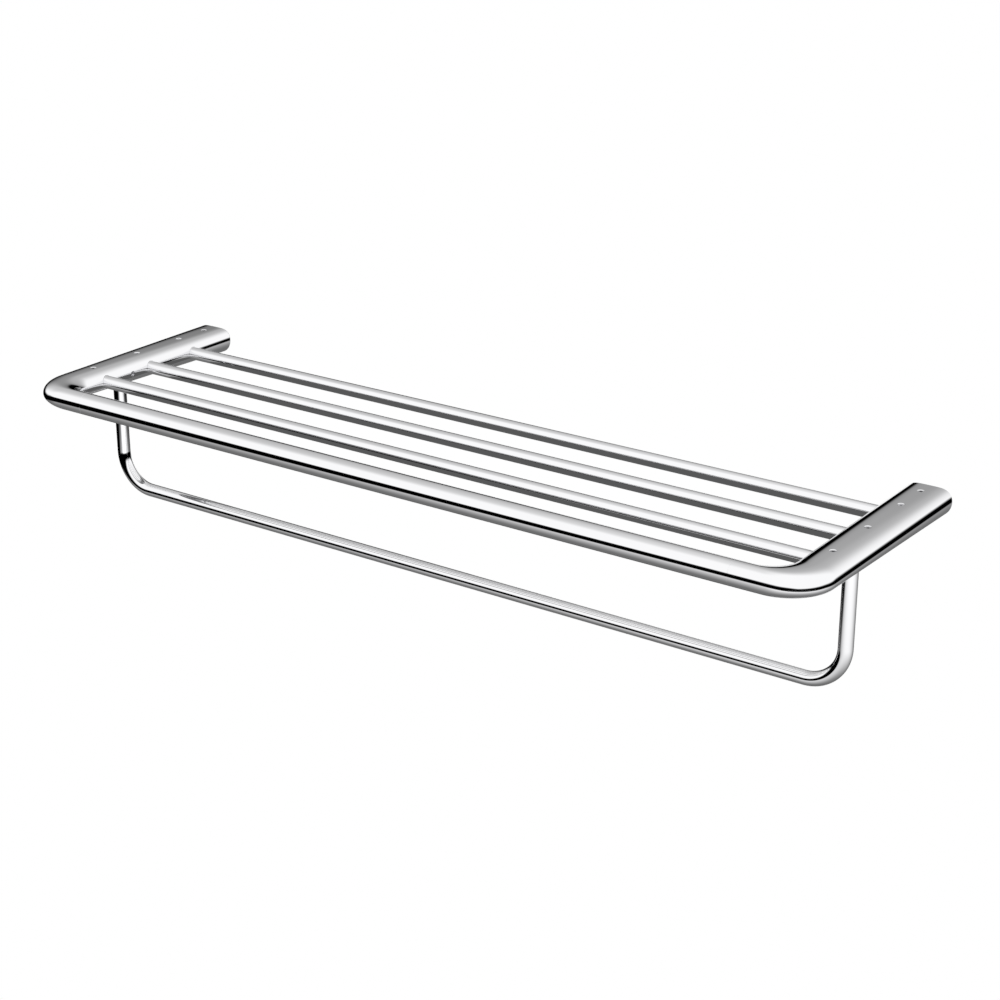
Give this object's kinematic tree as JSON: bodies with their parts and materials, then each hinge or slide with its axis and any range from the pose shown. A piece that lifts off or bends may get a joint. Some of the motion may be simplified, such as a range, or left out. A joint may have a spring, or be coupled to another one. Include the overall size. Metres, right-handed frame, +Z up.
{
  "type": "two-tier towel rack",
  "caption": "Wall-mounted towel rack: slim shelf bars framed by a thicker front rail and curved flat-oval arms, with a U-shaped towel rail hanging below.",
  "frame": {"origin": "on the wall plane, midway between the arms, at the height of the shelf bars' axes and of the wall screws", "axes": "+X along the rack to the right as seen from the room, +Y into the wall, +Z up"},
  "size_m": [0.8, 0.23, 0.1301],
  "materials": {
    "chrome": "mirror-polished plating",
    "screw_steel": "plain machined steel",
    "bracket_steel": "plain stamped and welded steel",
    "spigot_brass": "turned, hidden inside the joint"
  },
  "bodies": {
    "root": {"left_arm": "chrome", "right_arm": "chrome", "front_rail": "chrome", "left_rail_spigot": "spigot_brass", "right_rail_spigot": "spigot_brass", "front_shelf_bar": "chrome", "middle_shelf_bar": "chrome", "rear_shelf_bar": "chrome", "towel_rail": "chrome", "left_wall_bracket": "bracket_steel", "right_wall_bracket": "bracket_steel", "left_front_bar_screw": "screw_steel", "left_middle_bar_screw": "screw_steel", "left_rear_bar_screw": "screw_steel", "left_bracket_screw": "screw_steel", "left_leg_screw": "screw_steel", "right_front_bar_screw": "screw_steel", "right_middle_bar_screw": "screw_steel", "right_rear_bar_screw": "screw_steel", "right_bracket_screw": "screw_steel", "right_leg_screw": "screw_steel"}
  },
  "joints": []
}
